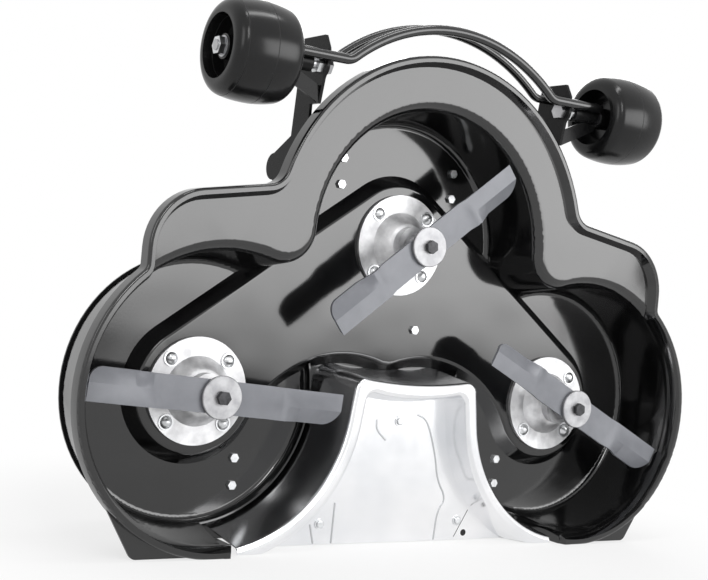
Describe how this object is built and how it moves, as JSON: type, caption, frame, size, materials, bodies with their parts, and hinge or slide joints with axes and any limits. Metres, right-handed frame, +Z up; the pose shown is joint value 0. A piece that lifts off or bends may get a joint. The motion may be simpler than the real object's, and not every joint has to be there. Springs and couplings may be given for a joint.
{
  "type": "lawn mower deck",
  "caption": "Pressed steel cutting deck of a ride-on mower standing on its rear edge, with belt-driven blades, a dished rear plug and barrel gauge wheels on bent bars.",
  "frame": {"origin": "middle of the rear flange's lower face, on which the deck stands", "axes": "+X to the viewer's right across the deck, +Y from the blade side to the top side, +Z up from the rear edge to the front edge"},
  "size_m": [1.1678, 0.32, 0.8399],
  "materials": {
    "black_paint": "gloss",
    "bar_paint": "satin",
    "zinc_sheet": "satin",
    "zinc_fasteners": "satin",
    "housing_metal": "satin",
    "bearing_steel": "polished",
    "shaft_steel": "satin",
    "pulley_steel": "satin",
    "blade_steel": "satin",
    "dark_bolts": "satin",
    "belt_rubber": "matte",
    "wheel_plastic": "satin"
  },
  "bodies": {
    "deck": {"deck_shell": "black_paint", "discharge_plug": "zinc_sheet", "plug_posts": "zinc_sheet", "plug_screws": "zinc_fasteners", "bracket_bolts": "zinc_fasteners", "rear_hangers": "black_paint", "front_hangers": "black_paint", "drive_belt": "belt_rubber", "idler_post": "shaft_steel", "idler_pivot_nut": "zinc_fasteners", "spring_anchor": "zinc_fasteners", "tension_spring": "shaft_steel", "wheel_bar": "bar_paint", "stay_bar": "bar_paint", "left_spindle_housing": "housing_metal", "left_bearings": "bearing_steel", "left_flange_bolts": "zinc_fasteners", "right_spindle_housing": "housing_metal", "right_bearings": "bearing_steel", "right_flange_bolts": "zinc_fasteners", "front_spindle_housing": "housing_metal", "front_bearings": "bearing_steel", "front_flange_bolts": "zinc_fasteners", "left_wheel_bracket": "black_paint", "left_axle_bolt": "shaft_steel", "left_axle_nuts": "zinc_fasteners", "right_wheel_bracket": "black_paint", "right_axle_bolt": "shaft_steel", "right_axle_nuts": "zinc_fasteners"},
    "left_spindle": {"left_spindle_shaft": "shaft_steel", "left_bearing_spacer": "shaft_steel", "left_pulley": "pulley_steel", "left_pulley_nut": "zinc_fasteners", "left_blade": "blade_steel", "left_blade_disc": "housing_metal", "left_blade_bolt": "dark_bolts"},
    "right_spindle": {"right_spindle_shaft": "shaft_steel", "right_bearing_spacer": "shaft_steel", "right_pulley": "pulley_steel", "right_pulley_nut": "zinc_fasteners", "right_blade": "blade_steel", "right_blade_disc": "housing_metal", "right_blade_bolt": "dark_bolts"},
    "front_spindle": {"front_spindle_shaft": "shaft_steel", "front_bearing_spacer": "shaft_steel", "front_pulley": "pulley_steel", "front_pulley_nut": "zinc_fasteners", "front_blade": "blade_steel", "front_blade_disc": "housing_metal", "front_blade_bolt": "dark_bolts"},
    "left_gauge_wheel": {"left_wheel": "wheel_plastic", "left_wheel_bush": "shaft_steel"},
    "right_gauge_wheel": {"right_wheel": "wheel_plastic", "right_wheel_bush": "shaft_steel"},
    "tension_arm": {"idler_arm": "black_paint", "idler_bolt": "zinc_fasteners"},
    "idler_wheel": {"idler_pulley": "pulley_steel"}
  },
  "joints": [
    {"name": "left_spin", "type": "hinge", "parent": "deck", "child": "left_spindle", "pos_m": [-0.35, -0.014, 0.232], "axis": [0, 1, 0], "continuous": true},
    {"name": "right_spin", "type": "hinge", "parent": "deck", "child": "right_spindle", "pos_m": [0.35, -0.014, 0.232], "axis": [0, 1, 0], "continuous": true},
    {"name": "front_spin", "type": "hinge", "parent": "deck", "child": "front_spindle", "pos_m": [0, -0.014, 0.4855], "axis": [0, 1, 0], "continuous": true},
    {"name": "left_wheel_roll", "type": "hinge", "parent": "deck", "child": "left_gauge_wheel", "pos_m": [-0.361, -0.136, 0.738], "axis": [1, 0, 0], "continuous": true},
    {"name": "right_wheel_roll", "type": "hinge", "parent": "deck", "child": "right_gauge_wheel", "pos_m": [0.361, -0.136, 0.738], "axis": [1, 0, 0], "continuous": true},
    {"name": "tension_arm_swing", "type": "hinge", "parent": "deck", "child": "tension_arm", "pos_m": [-0.09, 0.0395, 0.118], "axis": [0, 1, 0], "range_deg": [0, 12], "stiffness_Nm_per_rad": 6, "springref_deg": -28.65, "deforming": ["tension_spring"]},
    {"name": "idler_spin", "type": "hinge", "parent": "tension_arm", "child": "idler_wheel", "pos_m": [0.06, 0.058, 0.146], "axis": [0, 1, 0], "continuous": true}
  ],
  "couplings": [
    {"joint": "left_spin", "follows": "front_spin", "ratio": 1},
    {"joint": "right_spin", "follows": "front_spin", "ratio": 1},
    {"joint": "idler_spin", "follows": "front_spin", "ratio": -1.464}
  ]
}
